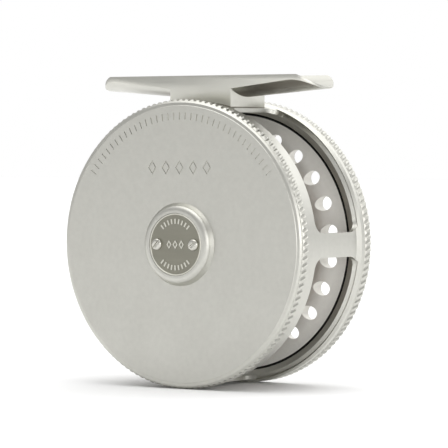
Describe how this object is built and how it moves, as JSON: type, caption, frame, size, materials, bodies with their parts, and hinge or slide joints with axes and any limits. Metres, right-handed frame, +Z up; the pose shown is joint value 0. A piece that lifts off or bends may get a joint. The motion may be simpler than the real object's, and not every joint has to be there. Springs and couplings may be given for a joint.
{
  "type": "fly reel",
  "caption": "Single-action fly reel: disc-backed open cage, ported narrow spool on a fixed spindle, sprung click check, side handle and curved rod foot.",
  "frame": {"origin": "middle of the rod saddle on top of the foot, at its lowest line", "axes": "+X along the rod, +Y along the spool's axle from the back plate to the handle side, +Z up, away from the reel and towards the rod"},
  "size_m": [0.0698, 0.0532, 0.0757],
  "materials": {
    "satin_cage": "fine bead-blasted silver anodising on the one-piece cage",
    "satin_foot": "satin silver anodising, faintly brushed along the foot",
    "satin_spool": "satin silver anodising with fine turning marks",
    "badge_nickel": "dull brushed nickel",
    "screw_steel": "turned stainless steel",
    "spindle_steel": "ground and lightly oiled steel",
    "spring_steel": "blued spring steel",
    "bronze": "oiled bearing bronze",
    "weight_brass": "turned brass",
    "knob_wood": "oiled dark hardwood"
  },
  "bodies": {
    "frame": {"frame": "satin_cage", "foot": "satin_foot", "foot_screws": "screw_steel", "badge": "badge_nickel", "badge_screws": "screw_steel", "spindle": "spindle_steel", "spindle_washer": "screw_steel", "spindle_nut": "screw_steel", "thrust_washer": "bronze", "pawl_posts": "spindle_steel", "pawl_clips": "spring_steel", "upper_pawl_spring": "spring_steel", "lower_pawl_spring": "spring_steel", "spring_screws": "screw_steel"},
    "spool": {"spool": "satin_spool", "rear_bush": "bronze", "front_bush": "bronze", "click_gear": "spindle_steel", "gear_screws": "screw_steel", "latch_cover": "satin_spool", "cover_screws": "screw_steel", "latch_spring": "spring_steel", "handle_stud": "screw_steel", "handle_screw": "screw_steel", "counterweight": "weight_brass", "counterweight_screw": "screw_steel"},
    "latch": {"latch_slide": "spindle_steel"},
    "knob": {"handle_knob": "knob_wood", "knob_inner_sleeve": "bronze", "knob_outer_sleeve": "bronze"},
    "upper_pawl": {"upper_pawl": "spindle_steel"},
    "lower_pawl": {"lower_pawl": "spindle_steel"}
  },
  "joints": [
    {"name": "spool_spin", "type": "hinge", "parent": "frame", "child": "spool", "pos_m": [0, 0, -0.0378], "axis": [0, 1, 0], "continuous": true},
    {"name": "knob_spin", "type": "hinge", "parent": "spool", "child": "knob", "pos_m": [-0.02685, 0.0238, -0.04067], "axis": [0, 1, 0], "continuous": true},
    {"name": "latch_press", "type": "slide", "parent": "spool", "child": "latch", "axis": [0, 0, -1], "range_m": [0, 0.0008], "stiffness_N_per_m": 500, "springref_m": -0.001, "deforming": ["latch_spring"]},
    {"name": "upper_pawl_rock", "type": "hinge", "parent": "frame", "child": "upper_pawl", "pos_m": [0.00825, -0.0092, -0.02351], "axis": [0, 1, 0], "range_deg": [-20, 20], "stiffness_Nm_per_rad": 0.002},
    {"name": "lower_pawl_rock", "type": "hinge", "parent": "frame", "child": "lower_pawl", "pos_m": [-0.00825, -0.0092, -0.05209], "axis": [0, 1, 0], "range_deg": [-20, 20], "stiffness_Nm_per_rad": 0.002}
  ]
}
